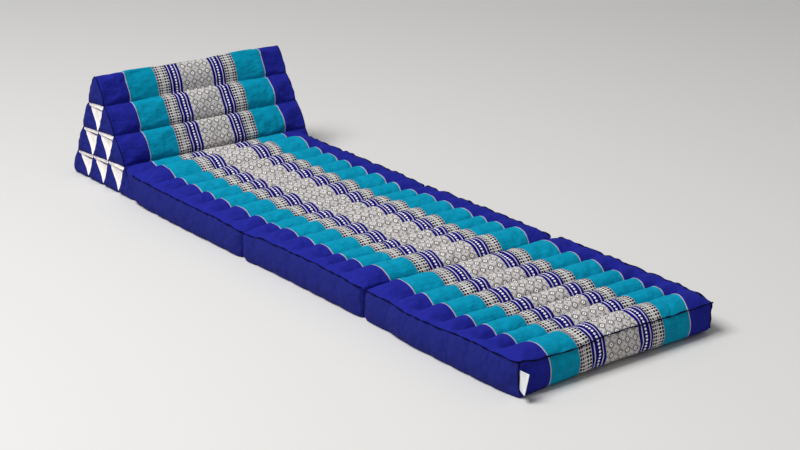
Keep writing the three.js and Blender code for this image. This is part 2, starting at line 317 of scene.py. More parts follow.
class Patchwork:
    """A closed cloth skin gathered from grids of points, each with its pattern coordinates."""

    def __init__(self):
        self.points = []
        self.corners = []
        self.pins = []
        self.folds = []
        self.faces = []
        self.count = 0

    def add(self, points, pattern, pinned, folded=0.0, flip=False):
        """Adds a grid: points and pattern in mm, 1 where a seam or the floor holds a point, and
        1 where it lies on a sharp fold."""
        points, pattern = np.asarray(points, float), np.asarray(pattern, float)
        rows, columns = points.shape[:2]
        index = np.arange(rows * columns).reshape(rows, columns) + self.count
        quads = np.stack([index[:-1, :-1], index[1:, :-1], index[1:, 1:], index[:-1, 1:]], axis=-1)
        quads = quads.reshape(-1, 4)
        self.faces.append(quads[:, ::-1] if flip else quads)
        self.points.append(points.reshape(-1, 3))
        self.corners.append(pattern.reshape(-1, 2))
        self.pins.append(np.broadcast_to(pinned, (rows, columns)).reshape(-1))
        self.folds.append(np.broadcast_to(folded, (rows, columns)).reshape(-1))
        self.count += rows * columns

    def build(self, name):
        """Welds equal points, drops the doubled corner at a pole, and makes the object."""
        points = to_world(np.concatenate(self.points))
        pattern = np.concatenate(self.corners) / 1000
        pins = np.concatenate(self.pins).astype(float)
        faces = np.concatenate(self.faces)
        _, first, same = np.unique(
            np.round(points, 6), axis=0, return_index=True, return_inverse=True)
        same = same.reshape(-1)
        held, sharp = np.zeros(len(first)), np.zeros(len(first))
        np.maximum.at(held, same, pins)
        np.maximum.at(sharp, same, np.concatenate(self.folds).astype(float))
        welded = same[faces]
        keep = welded != np.roll(welded, -1, axis=1)
        sides = keep.sum(axis=1)
        lists = [face[kept] for face, kept in zip(welded[sides > 2], keep[sides > 2])]
        loops = faces[sides > 2][keep[sides > 2]]
        mesh = bpy.data.meshes.new(name)
        mesh.from_pydata(points[first], [], [list(map(int, face)) for face in lists])
        layer = mesh.uv_layers.new(name="pattern")
        layer.data.foreach_set("uv", pattern[loops].ravel())
        mesh.polygons.foreach_set("use_smooth", np.ones(len(mesh.polygons), bool))
        ends = np.empty(len(mesh.edges) * 2, np.int32)
        mesh.edges.foreach_get("vertices", ends)
        crease = mesh.attributes.new("crease_edge", "FLOAT", "EDGE")
        crease.data.foreach_set("value", sharp[ends.reshape(-1, 2)].min(axis=1).astype(np.float32))
        piece = bpy.data.objects.new(name, mesh)
        bpy.context.scene.collection.objects.link(piece)
        group = piece.vertex_groups.new(name="held")
        for weight in np.unique(held):
            group.add([int(i) for i in np.flatnonzero(held == weight)], float(weight), "REPLACE")
        return piece


def mesh_step():
    """Spacing of the cloth's mesh points in mm."""
    return bpy.context.scene.cushion_sizes.step * 1000


def even_steps(distance):
    """An even number of mesh steps over a distance in mm."""
    return 2 * round(distance / mesh_step() / 2)


def gathered(u):
    """Even shares from 0 to 1 moved towards both ends, by half a cosine."""
    return mix(u, (1 - np.cos(np.pi * u)) / 2, GATHER["ends"])


def channel_stations(channels):
    """Places along a mat with several steps in each channel: distance, channel and share."""
    start, along, index, share = 0.0, [0.0], [0], [0.0]
    for number, (length, _) in enumerate(channels):
        steps = max(6, even_steps(length))
        u = gathered(np.arange(1, steps + 1) / steps)
        along.extend(start + length * u)
        index.extend([number] * steps)
        share.extend(u)
        start += length
    return np.array(along), np.array(index), np.array(share)


def rest_seam(level, index):
    """A seam point of the back rest: evenly spaced on a level from the back to the front."""
    ends = [np.array([mix(REST[foot], REST["apex"], REST[side][level] / REST["height"]),
                      REST[side][level]])
            for side, foot in (("back", "back_foot"), ("front", "front_foot"))]
    return mix(*ends, index / level if level else 0)


def leaning_face(z):
    """X of the leaning wall of mat 1 at height z, straight along the lowest front roll."""
    foot, crease = rest_seam(ROWS, ROWS), rest_seam(ROWS - 1, ROWS - 1)
    slope = (crease[0] - foot[0]) / (crease[1] - foot[1])
    return foot[0] + (z - foot[1]) * slope + REST["pressed"] + SEAM_GAP * 1.5


def round_corners(row, along, across, x, y):
    """Draws a mat's corners in, so that in plan each is a superellipse of its own reach."""
    share = along / along[-1]
    reach = np.where(share < 0.5, CORNER_REACH[row["start"]], CORNER_REACH[row["end"]])[:, None]
    from_end = np.minimum(along, along[-1] - along)[:, None]
    from_side = (HALF * (1 - np.abs(across)))[None, :]
    a = np.clip(1 - from_end / reach, 0, 1)
    b = np.clip(1 - from_side / reach, 0, 1)
    norm = np.maximum((a ** CORNER_POWER + b ** CORNER_POWER) ** (1 / CORNER_POWER), 1e-9)
    draw = reach * (1 - np.maximum(a, b) / norm) * (np.minimum(a, b) > 0)
    x = x + draw * a * np.where(share < 0.5, 1, -1)[:, None]
    return x, y - draw * b * np.sign(across)[None, :]


def edge_runs(row, axis, share, puff):
    """How far a mat's near and far edge seams stand out (axis 0) or up (axis 1), as columns."""
    return [(flow(row[side][axis], share) + puff)[:, None] for side in ("near", "far")]


def seam_heights(row, along, across, puff):
    """Heights of the seam line's plane: a mat's edges rise over it within their borders."""
    length = along[-1]
    share = along / length
    lean = np.zeros_like(along)
    if row["start"] == "leaning":
        lean = np.maximum(0, 1 - along / (row["channels"][0][0] * LEAN_REACH))
    edge = 1 - ease(HALF * (1 - np.abs(across)) / BORDER)
    up = np.where(across[None, :] < 0, *edge_runs(row, 1, share, puff)) * edge[None, :]
    if row["end"] == "free":
        end = 1 - ease((length - along) / BORDER)
        up = up + end[:, None] * flow(FREE_UP, (across + 1) / 2)[None, :]
    return SEAM_HEIGHT + LEAN_RISE * lean[:, None] + up


def free_foot(aside, height):
    """How far the free end's foot stands out, from the near side to the far side."""
    return flow(FREE_FOOT, aside) * (1 - height) ** FOOT_POWER


def mat_levels(row, along, across, u, heights, profiles):
    """Points of a mat on levels of its wall.

    A level is the seam line's rectangle pushed out by the wall's profile, which fades to
    nothing at the corner seams where it bulges, and its height is a share of the seam's."""
    length = along[-1]
    start_x = row["end_x"] - length
    share = along / length
    towards_end = np.abs(2 * share - 1)
    first_half = share < 0.5
    leans = row["start"] == "leaning"
    puff = SCALLOP["height"] * (crown(u) - SCALLOP["middle"])
    seam_z = seam_heights(row, along, across, puff)
    near = across[None, :] < 0
    edge_out = np.where(near, *edge_runs(row, 0, share, puff))
    aside = (across + 1) / 2
    slant = np.where(first_half[:, None], mix(*SLANT[row["start"]], aside)[None, :],
                     mix(*SLANT[row["end"]], aside)[None, :]) * towards_end[:, None]
    levels = []
    for height, near_out, far_out, start, end in zip(heights, *profiles):
        z = seam_z * height
        if row["end"] == "free":
            end = end * (1 - np.abs(across) ** CORNER if end > 0 else 1) + free_foot(aside, height)
        out_x = np.where(first_half[:, None], -start, end)
        x = (start_x + along)[:, None] + out_x * towards_end[:, None] + slant
        if leans and height < 1:
            x = x + (leaning_face(z) - start_x) * (towards_end * first_half)[:, None]
        side = np.where(near, near_out, far_out)
        fade_x = np.where(side > 0, (1 - towards_end ** CORNER)[:, None], 1)
        y = row["shift"] + across[None, :] * (HALF + edge_out + side * fade_x)
        x, y = round_corners(row, along, across, *np.broadcast_arrays(x, y))
        dent = DENT["depth"] * bell(x - row["join"], DENT["spread"]) * (0 < height < 1)
        y = y - dent * np.sign(across)[None, :] * (np.abs(across) > 0.999)[None, :]
        levels.append(np.stack([x, y, z], axis=-1))
    return np.array(levels), seam_z


def fine_wall(kind):
    """A wall's profile on evenly spaced heights, from its table by a smooth curve."""
    heights = np.array(WALL["height"])[::-1]
    place = np.linspace(0, 1, WALL_STEPS)[::-1]
    out = np.interp(place, heights, np.array(WALL[kind], float)[::-1])
    kernel = np.array([0.25, 0.5, 0.25])
    for _ in range(2):
        out[1:-1] = np.convolve(out, kernel, mode="valid")
    return place, out


def ring_of(grid):
    """The border points of a grid of points, once round, first point repeated."""
    return np.concatenate([grid[:-1, 0], grid[-1, :-1], grid[:0:-1, -1], grid[0, :0:-1], grid[:1, 0]])


def mat_shape(row):
    """All grids of one mat: its rolled top, its walls in rings, and its floor side.

    The channels' crests lie on a smooth line along the mat, which the top reaches from the edge
    seam over its border. The valleys between the rolls are cut down from it, and they run out
    in the border before they reach the edge seam."""
    along, channel, u = channel_stations(row["channels"])
    even = np.linspace(-1, 1, even_steps(WIDTH) + 1)
    across = mix(even, np.sin(even * math.pi / 2), GATHER["sides"])
    kinds = ("near", "far", row["start"], row["end"])
    levels, seam_z = mat_levels(
        row, along, across, u, fine_wall("near")[0], [fine_wall(kind)[1] for kind in kinds])
    seams = np.array([0, *row["seams"], 0], float)
    lengths, crowns = np.array(row["channels"], float).T
    crests = VALLEY_RISE + crowns
    crest_line = np.interp(along, np.cumsum(lengths) - lengths / 2, crests)
    base = mix(seams[channel], seams[channel + 1], u)
    middle = (seams[channel] + seams[channel + 1]) / 2
    depth = crest_line - base - (crests[channel] - middle) * roll(u)
    from_side = HALF * (1 - np.abs(across))
    from_end = np.minimum(along, along[-1] - along)[:, None]
    inside = ease(from_side / BORDER)[None, :]
    cut = mix(inside, smooth_step(over(from_side, FADE))[None, :], ease(from_end / BORDER))
    pleat = np.sin(along / PLEAT["pitch"] + 2 * np.sin(along / PLEAT["sway"]))[:, None]
    pleat = PLEAT["height"] * pleat * bell(from_side - PLEAT["from_side"], PLEAT["spread"])[None, :]
    pleat = pleat * ease(from_end / BORDER)
    top = levels[0].copy()
    top[..., 2] = seam_z + crest_line[:, None] * inside - depth[:, None] * cut + pleat
    floor = levels[-1].copy()
    floor[..., 2] = 0
    walls = np.array([ring_of(level) for level in [top, *levels[1:-1], floor]])
    return {"along": along, "across": across, "u": u, "top": top, "floor": floor, "walls": walls}


def make_mat(row):
    """One mat's cloth, with its pattern coordinates: along the mat, and across from its middle.

    On a side wall the second coordinate runs on past the border, so that it is blue, and on an
    end wall the first one runs on past the end, so that the bands go down it."""
    shape = mat_shape(row)
    along, across = shape["along"], shape["across"]
    place = arc_lengths(shape["top"][:, len(across) // 2])
    share = along / along[-1]
    offset = mix(*row["bands"], share)
    spread = 1 + BAND_SPREAD["share"] * crown(share, BAND_SPREAD["power"])
    grid_u, grid_v = np.meshgrid(place, across * HALF, indexing="ij")
    grid_v = (grid_v - offset[:, None]) / spread[:, None]
    seam = np.isin(shape["u"], (0.0, 1.0))[:, None]
    valley = seam * over(HALF * (1 - np.abs(across)), CREASE)[None, :]
    border = np.zeros(grid_u.shape)
    border[[0, -1], :] = 1
    border[:, [0, -1]] = 1
    hard = border.copy()
    hard[along < CORNER_REACH["leaning"] * (row["start"] == "leaning"), :] = 0
    cloth = Patchwork()
    held = np.round(np.maximum(valley, border), 1)
    cloth.add(shape["top"], np.stack([grid_u, grid_v], -1), held, np.maximum(valley, hard))
    blue = np.stack([grid_u, grid_v + 2 * WIDTH], -1)
    cloth.add(shape["floor"], blue, 1, flip=True)

    down = arc_lengths(np.swapaxes(shape["walls"], 0, 1)).T
    n, m = len(along) - 1, len(across) - 1
    spans = {"near": (0, n + 1), "end": (n, n + m + 1), "far": (n + m, 2 * n + m + 1),
             "start": (2 * n + m, 2 * (n + m) + 1)}
    for name, (first, last) in spans.items():
        wall, fall = shape["walls"][:, first:last], down[:, first:last]
        if name in ("near", "far"):
            u = np.broadcast_to(place if name == "near" else place[::-1], fall.shape)
            v = (-1 if name == "near" else 1) * (HALF + fall)
        else:
            v = np.broadcast_to(grid_v[-1] if name == "end" else grid_v[0, ::-1], fall.shape)
            u = place[-1] + fall if name == "end" else -fall
        pinned = np.zeros(fall.shape)
        pinned[0], pinned[-3:] = 1, 1
        pinned[:, [0, -1]] = 1
        if name == "start" or name == "end" and row["end"] != "free":
            pinned[:] = 1
        folded = np.zeros(fall.shape)
        soft = name == "start" and "hinge" in row["start"] + row["end"]
        folded[:, [0, -1]] = 0.0 if soft else 0.6
        cloth.add(wall, np.stack([u, v], -1), pinned, folded)
    return cloth.build(f"cushion_{row['name']}")


def rest_arcs():
    """The outline's arcs: from, to, bulge and power, along the floor, up the front, down the back."""
    arcs = []
    for k in range(ROWS):
        arcs.append((rest_seam(ROWS, k), rest_seam(ROWS, k + 1), "floor", PRESSED))
    for level in range(ROWS, 0, -1):
        kind = "pressed" if level == ROWS else "bulge"
        arcs.append((rest_seam(level, level), rest_seam(level - 1, level - 1), kind, ROUND))
    for level in range(ROWS):
        arcs.append((rest_seam(level, 0), rest_seam(level + 1, 0), "bulge", ROUND))
    return arcs


def rest_outline(end_share, steps):
    """Section of the back rest. A roll stands over its chord by its bulge; its seams, but not
    the apex, dip inside it, and the dip is gone at the end panels."""
    u = gathered(np.arange(steps) / steps)
    parts = []
    for start, stop, kind, power in rest_arcs():
        chord = stop - start
        out = np.array([chord[1], -chord[0]]) / np.hypot(*chord)
        height = REST[kind] * crown(u, power)
        if kind == "bulge":
            dips = [REST["dip"] * (1 - end_share) * (REST["front"][-1] < end[1] < REST["front"][0])
                    for end in (start, stop)]
            bulge = REST[kind] * mix(1, REST["end_bulge"], end_share)
            height = (bulge + np.mean(dips)) * roll(u) - mix(dips[0], dips[1], u)
            pleat = PLEAT["height"] * np.sin(PLEAT["round"] * u)
            height = height + pleat * 4 * end_share * (1 - end_share)
        parts.append(start + u[:, None] * chord + height[:, None] * out)
    return np.concatenate(parts)


def rest_cells():
    """The triangular cells of an end panel: tube ends point up, gussets point down.

    Each is: whether it points up, whether it lies at the front, and its corners."""
    cells = []
    for level in range(1, ROWS + 1):
        for k in range(level):
            top = rest_seam(level - 1, k)
            cells.append((True, k == level - 1, (top, rest_seam(level, k), rest_seam(level, k + 1))))
            if k > 0:
                below = rest_seam(level, k)
                cells.append((False, k == level - 1, (rest_seam(level - 1, k - 1), below, top)))
    return cells


def cell_ring(corners, outline, steps):
    """A cell's border, once round: straight, or along the outline where it is the outer edge."""
    parts = []
    for side in range(3):
        start, stop = corners[side], corners[(side + 1) % 3]
        points = start + (np.arange(steps) / steps)[:, None] * (stop - start)
        if outline is not None:
            near = np.flatnonzero(np.hypot(*(outline - start).T) < 1e-6)
            if len(near):
                run = outline[(near[0] + np.arange(steps + 1)) % len(outline)]
                if np.hypot(*(run[-1] - stop)) < 1e-6:
                    points = run[:-1]
        parts.append(points)
    ring = np.concatenate(parts)
    return np.concatenate([ring, ring[:1]])


def settled(share):
    """What is left of the back rest's height at a share of its half width from its middle."""
    return 1 - REST["settled"] * (share + 1) / 2


def place_on_end(section, out, end):
    """Section points (x, z) stand on an end panel of the back rest, out mm from its seam plane."""
    y = SEAT_SHIFT + end * (REST["half"] + out)
    z = section[..., 1] * settled(end)
    return np.stack([section[..., 0], np.broadcast_to(y, section.shape[:-1]), z], -1)


def make_back_rest():
    """The stuffed back rest: rolls carried across the width, and domed tube ends.

    A roll's bulge slims towards the end seams. A tube end is its cell's border shrunk towards
    the middle, standing out by dome times 1 - scale to a power; a gusset's cell is a recess."""
    steps = even_steps(REST["roll"])
    share = np.linspace(-1, 1, even_steps(2 * REST["half"]) + 1)
    slim = over(np.abs(share), (REST["taper_from"], 1)) ** 2
    rings = np.array([rest_outline(s, steps) for s in slim])
    rings = np.concatenate([rings, rings[:, :1]], axis=1)
    y = SEAT_SHIFT + share * REST["half"]
    around = np.broadcast_to(arc_lengths(rings[len(rings) // 2]), rings.shape[:2])
    level = rings[..., 1] * settled(share)[:, None]
    body = np.stack([rings[..., 0], np.broadcast_to(y[:, None], rings.shape[:2]), level], -1)
    bands = y - SEAT_SHIFT - REST_BANDS["offset"]
    bands = np.sign(bands) * np.interp(np.abs(bands), REST_BANDS["on_rest"], REST_BANDS["on_mat"])
    v = np.broadcast_to(bands[:, None], rings.shape[:2])
    arc = np.arange(rings.shape[1]) // steps % (3 * ROWS)
    seam = (np.arange(rings.shape[1]) % steps == 0) & (np.arange(rings.shape[1]) != 2 * ROWS * steps)
    pinned = np.broadcast_to((seam | (arc <= ROWS))[None, :], rings.shape[:2]).astype(float)
    folded = np.broadcast_to((seam & (arc > ROWS))[None, :], rings.shape[:2]).astype(float)
    pinned[[0, -1], :] = 1
    folded[[0, -1], :] = 0.7
    floor = np.where((arc < ROWS)[None, :], 2 * WIDTH, 0)
    cloth = Patchwork()
    cloth.add(body, np.stack([around, v + floor], -1), pinned, folded, flip=True)
    outline = rest_outline(1.0, steps)
    scales = np.linspace(1, 0, 9)
    for end in (-1, 1):
        for up, _, corners in rest_cells():
            ring, middle = cell_ring(corners, outline, steps), np.mean(corners, axis=0)
            if up:
                size, out = scales, REST["dome"] * (1 - scales ** REST["dome_power"])
            else:
                size, out = np.array(RECESS["size"]), -REST["recess"] * np.array(RECESS["depth"])
            section = middle + size[:, None, None] * (ring - middle)
            points = place_on_end(section, out[:, None], end)
            pattern = np.stack([section[..., 0], section[..., 1] + WIDTH], -1)
            border = np.zeros(section.shape[:2])
            border[0] = 1
            cloth.add(points, pattern, border if up else 1, border, flip=end < 0)
    return cloth.build("cushion_back_rest")


def gusset_shape(corners, front):
    """A gusset: its cell's border shrunk towards the middle and sunk like a dish.

    Along its top edge a rolled lip stands over a furrow, both stronger towards the front, and
    soft folds run down to its point, by the angle about it."""
    ring, middle = cell_ring(corners, None, GUSSET["steps"]), np.mean(corners, axis=0)
    scale = np.array(GUSSET["rings"])
    section = middle + scale[:, None, None] * (ring - middle)
    left, point, right = (np.array(corner) for corner in corners)
    below = left[1] - section[..., 1]
    forward = over(section[..., 0], (left[0], right[0]))
    dish = GUSSET["rim"] - GUSSET["dish"] * (1 - scale[:, None] ** 3)
    low, gain, front_gain = GUSSET["lip"]
    lip = low + (gain + front_gain * front) * forward
    lip = lip * bell(below - GUSSET["lip_at"], GUSSET["lip_spread"])
    low, gain = GUSSET["furrow"]
    furrow = -(low + gain * forward) * bell(below - GUSSET["furrow_at"], GUSSET["furrow_spread"])
    angle = np.arctan2(section[..., 0] - point[0], section[..., 1] - point[1] + 1e-6)
    fade = over(below, GUSSET["fold_from"]) * np.clip((1 - scale[:, None]) * 6, 0, 1)
    folds = GUSSET["fold"] * np.sin(angle * GUSSET["fold_rate"] + 2 * front) * fade
    flare = front * forward ** 4 * bell(below, GUSSET["flare_spread"])
    section = section + flare[..., None] * np.array(GUSSET["flare"][:2])
    tip = GUSSET["tip"] * bell(np.hypot(*(section - point).T).T, GUSSET["tip_spread"])
    return section, dish + lip + furrow + folds + tip + flare * GUSSET["flare"][2]


def thicken(piece, thickness, offset):
    """Gives a sheet its thickness in metres, on the side of its surface that the offset says."""
    skin = piece.modifiers.new("thickness", "SOLIDIFY")
    skin.thickness = thickness
    skin.offset = offset


def subdivide(piece):
    """One level of subdivision."""
    smooth = piece.modifiers.new("smooth", "SUBSURF")
    smooth.levels = smooth.render_levels = 1


def make_gusset(node, corners, front, end):
    """One thin white gusset, as a sheet with its own thickness."""
    section, out = gusset_shape(corners, front)
    cloth = Patchwork()
    cloth.add(place_on_end(section, out, end), section, 1, flip=end < 0)
    piece = cloth.build(f"cotton_{node}")
    thicken(piece, 0.001, -1)
    subdivide(piece)
    return piece


def tube_along(path, out, wide, high, sides=8):
    """A ridge: an ellipse carried along a path, wide across it and high along its out direction.

    The ellipse stands half sunk, with its middle a third of its height out of the cloth."""
    path, out = np.asarray(path, float), np.asarray(out, float)
    tangent = np.gradient(path, axis=0)
    tangent /= np.linalg.norm(tangent, axis=1, keepdims=True)
    out = out - (out * tangent).sum(1, keepdims=True) * tangent
    out /= np.linalg.norm(out, axis=1, keepdims=True)
    flat = np.cross(tangent, out)
    angle = np.linspace(0, 2 * math.pi, sides + 1)
    wide, high = (np.broadcast_to(size, len(path))[:, None] for size in (wide, high))
    ring = np.cos(angle)[None, :, None] * (out * high)[:, None] + (
        np.sin(angle)[None, :, None] * (flat * wide)[:, None])
    points = (path + out * high / 3)[:, None] + ring
    caps = [np.broadcast_to(points[k].mean(0), points[k].shape) for k in (0, -1)]
    return np.concatenate([caps[:1], points, caps[1:]])


def resample(path, out, step):
    """The path's points and outward directions at even distances of about one step."""
    path = np.asarray(path, float)
    both = np.concatenate([path, np.broadcast_to(np.asarray(out, float), path.shape)], axis=1)
    length = arc_lengths(path)
    place = np.linspace(0, length[-1], max(2, round(length[-1] / step) + 1))
    even = np.stack([np.interp(place, length, column) for column in both.T], -1)
    return even[:, :3], even[:, 3:]


def seam_piece(name, runs, share=1.0):
    """One piece of overlocked seams: each run is a path with its outward direction.

    A seam wanders off its line, and sinks and rises, by sums of sines along it."""
    size = bpy.context.scene.cushion_sizes.seam * 1000 * share
    cloth = Patchwork()
    for path, out in runs:
        path, out = resample(path, out, SEAM["step"])
        along = arc_lengths(path)
        wave = sum(share * np.sin(along / reach + start) for share, reach, start in SEAM_WAVES)
        path = path + out * (size * SEAM["wander"] * wave)[:, None]
        path[:, 2] += size * SEAM["rise"] * np.sin(along / 11 + np.sin(along / 37))
        thick = size * (1 + SEAM["swell"] * np.sin(along / 5.7 + 2 * np.sin(along / 29)))
        points = tube_along(path, out, thick / SEAM["wide"], thick / SEAM["high"])
        u = np.concatenate([along[:1], along, along[-1:]])
        v = np.linspace(0, size * 3, points.shape[1])
        pattern = np.stack(np.meshgrid(u, v, indexing="ij"), -1)
        cloth.add(points, pattern, 1)
    return cloth.build(name)


def mat_seams(row):
    """Edge seams of a mat: both long top edges, and the free end's with its corner seams."""
    shape = mat_shape(row)
    top, walls = shape["top"], shape["walls"]
    n, m = len(shape["along"]) - 1, len(shape["across"]) - 1
    first = np.searchsorted(shape["along"], 50) if row["start"] == "leaning" else 0
    runs = [(top[first:, 0], (0, -0.6, 0.8)), (top[first:, -1], (0, 0.6, 0.8))]
    if row["end"] == "free":
        runs.append((np.concatenate([top[-1], top[-1, -1:] + [[2, 4, 1]]]), (0.6, 0, 0.8)))
        runs.append((walls[:-2, n], (0.7, -0.7, 0)))
        runs.append((walls[:-2, n + m], (0.7, 0.7, 0)))
    return seam_piece(f"edge_seams_{row['name']}", runs)


def rest_seams():
    """Seams round both end panels of the back rest, along the rolls' outline."""
    steps = even_steps(REST["roll"])
    outline = rest_outline(1.0, steps)
    outline = np.concatenate([outline[ROWS * steps:], outline[:1]])
    runs = []
    middle = np.array([REST["apex"], REST["height"] / 2.5])
    for end in (-1, 1):
        path = place_on_end(outline, 0.0, end)
        away = outline - middle
        away /= np.linalg.norm(away, axis=1, keepdims=True)
        runs.append((path, np.stack([away[:, 0], np.full(len(away), end * 1.2), away[:, 1]], -1)))
    return seam_piece("edge_seams_back_rest", runs, 0.5)


def make_label():
    """The blank label: a strip out of the corner seam, its lower end bent to the near side."""
    u, v = np.meshgrid(np.linspace(0, 1, 25), np.linspace(0, 1, 31), indexing="ij")
    z = LABEL["bottom"] + v * LABEL["height"]
    x = SEAM_GAP + mix(free_foot(0 * u, z / SEAM_HEIGHT), LABEL["length"], u)
    bend = LABEL["bend"] * u * (1 - v) + LABEL["ripple"] * np.sin(3 * u + 2 * v) * u
    y = MATS[2]["shift"] - HALF - bend
    cloth = Patchwork()
    cloth.add(np.stack([x, y, z], -1), np.stack([u * LABEL["length"], v * LABEL["height"]], -1), 1)
    piece = cloth.build("blank_label")
    thicken(piece, 0.0006, 0)
    return piece


def vertex_places(mesh):
    """A mesh's points, one row each."""
    points = np.empty(len(mesh.vertices) * 3)
    mesh.vertices.foreach_get("co", points)
    return points.reshape(-1, 3)


def stuff(pieces):
    """Lets the filling swell the cloth between its seams, by one cloth simulation of all pieces.

    The seams and the floor hold their points. A point moves no further than the swell."""
    sizes, scene = bpy.context.scene.cushion_sizes, bpy.context.scene
    rest = {}
    for piece in pieces:
        rest[piece.name] = vertex_places(piece.data)
        cloth = piece.modifiers.new("filling", "CLOTH")
        settings = cloth.settings
        settings.quality = 6
        settings.mass = 0.25
        settings.tension_stiffness = settings.compression_stiffness = 25
        settings.shear_stiffness = 12
        settings.bending_stiffness = 0.6
        settings.vertex_group_mass = "held"
        settings.use_pressure = True
        settings.uniform_pressure_force = sizes.pressure
        settings.shrink_min = -sizes.slack
        settings.effector_weights.gravity = 0
        cloth.collision_settings.use_collision = False
        cloth.point_cache.frame_start = 1
        cloth.point_cache.frame_end = sizes.frames
    for number in range(1, sizes.frames + 1):
        scene.frame_set(number)
    graph = bpy.context.evaluated_depsgraph_get()
    for piece in pieces:
        moved = vertex_places(piece.evaluated_get(graph).to_mesh()) - rest[piece.name]
        far = np.linalg.norm(moved, axis=1, keepdims=True)
        moved *= sizes.swell * np.tanh(far / sizes.swell) / np.maximum(far, 1e-9)
        piece.evaluated_get(graph).to_mesh_clear()
        rest[piece.name] = rest[piece.name] + moved
    for piece in pieces:
        piece.modifiers.remove(piece.modifiers["filling"])
        piece.data.vertices.foreach_set("co", rest[piece.name].ravel())
        piece.data.update()
    scene.frame_set(1)


def finish_cloth(piece):
    """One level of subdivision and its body."""
    subdivide(piece)
    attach(piece, "root")


class Wiring:
    """Adds nodes to a tree; every method returns an output socket."""

    def __init__(self, tree):
        self.tree = tree

    def node(self, kind, **values):
        made = self.tree.nodes.new(kind)
        for key, value in values.items():
            setattr(made, key, value)
        return made

    def put(self, socket, value):
        """Links a socket, or sets a plain value."""
        if isinstance(value, bpy.types.NodeSocket):
            self.tree.links.new(value, socket)
        else:
            socket.default_value = value

    def fill(self, sockets, values):
        for socket, value in zip(sockets, values):
            self.put(socket, value)

    def math(self, operation, *values):
        made = self.node("ShaderNodeMath", operation=operation)
        self.fill(made.inputs, values)
        return made.outputs[0]

    def between(self, value, low, high):
        """1 where value lies between low and high, and 0 elsewhere."""
        return self.math("MULTIPLY", self.math("GREATER_THAN", value, low),
                         self.math("LESS_THAN", value, high))

    def mix(self, factor, a, b, blend="MIX"):
        made = self.node("ShaderNodeMix", data_type="RGBA", blend_type=blend)
        self.fill((made.inputs[0], made.inputs[6], made.inputs[7]), (factor, a, b))
        return made.outputs[2]

    def ramp(self, value, stops):
        """Steps of colour: each stop is where it starts, and its colour."""
        made = self.node("ShaderNodeValToRGB")
        made.color_ramp.interpolation = "CONSTANT"
        elements = made.color_ramp.elements
        while len(elements) < len(stops):
            elements.new(0.5)
        for element, (place, colour) in zip(elements, stops):
            element.position = place
            element.color = colour
        self.put(made.inputs[0], value)
        return made.outputs[0]

    def noise(self, u, v, rates, detail):
        """Noise drawn out along the cloth: u and v each times its own rate."""
        made = self.node("ShaderNodeTexNoise")
        place = [self.math("MULTIPLY", share, rate) for share, rate in zip((u, v), rates)]
        self.put(made.inputs["Vector"], self.combine(*place, 0.0))
        made.inputs["Scale"].default_value = 1.0
        made.inputs["Detail"].default_value = detail
        return made.outputs[0]

    def combine(self, *values):
        made = self.node("ShaderNodeCombineXYZ")
        self.fill(made.inputs, values)
        return made.outputs[0]

    def split(self, vector):
        made = self.node("ShaderNodeSeparateXYZ")
        self.put(made.inputs[0], vector)
        return made.outputs

    def pattern(self):
        """The cloth's own pattern coordinates."""
        return self.node("ShaderNodeUVMap", uv_map="pattern").outputs[0]

    def relief(self, shader, height, strength, distance):
        """A height becomes the shader's normal."""
        bump = self.node("ShaderNodeBump")
        bump.inputs["Strength"].default_value = strength
        bump.inputs["Distance"].default_value = distance
        self.put(bump.inputs["Height"], height)
        self.put(shader["Normal"], bump.outputs[0])


def rgba(colour):
    """A colour property as four values."""
    return (*colour, 1.0)


def group_tree(name, inputs, outputs):
    """A shader node group with the named float or vector sockets, and its wiring."""
    tree = bpy.data.node_groups.new(name, "ShaderNodeTree")
    for label, kind in inputs:
        tree.interface.new_socket(label, in_out="INPUT", socket_type=kind)
    for label, kind in outputs:
        tree.interface.new_socket(label, in_out="OUTPUT", socket_type=kind)
    wiring = Wiring(tree)
    return tree, wiring, wiring.node("NodeGroupInput").outputs, wiring.node("NodeGroupOutput").inputs


def weave_group():
    """Plain weave: threads cross as a product of two sines, with slubs, in slightly crumpled cloth whose
    colour is darker in the crumples' hollows as painted shade.
    """
    tree, w, given, result = group_tree(
        "plain_weave",
        [("Pattern", "NodeSocketVector"), ("Thread", "NodeSocketFloat")],
        [("Height", "NodeSocketFloat"), ("Shade", "NodeSocketFloat")])
    u, v, _ = w.split(given["Pattern"])
    rate = w.math("DIVIDE", math.pi, given["Thread"])
    a = w.math("SINE", w.math("MULTIPLY", u, rate))
    b = w.math("SINE", w.math("MULTIPLY", v, rate))
    crossing = w.math("MULTIPLY", a, b)
    weft = w.math("MULTIPLY", w.noise(u, v, WEAVE["weft"], 3.0), WEAVE["weft_share"])
    slub = w.math("ADD", w.noise(u, v, WEAVE["warp"], 3.0), weft)
    crumple = w.noise(u, v, WEAVE["crumple"], 4.0)
    height = w.math("ADD", w.math("MULTIPLY", crossing, WEAVE["thread_height"]), slub)
    w.put(result["Height"], w.math("MULTIPLY_ADD", crumple, WEAVE["crumple_height"], height))
    # The crumple darkens the colour where its relief is low: partly a mottled tone, partly painted shade
    # in the hollows
    crumple_painted_shade = w.math("SUBTRACT", crumple, 0.5)
    w.put(result["Shade"], w.math("MULTIPLY_ADD", crumple_painted_shade, WEAVE["crumple_shade"], slub))
    return tree


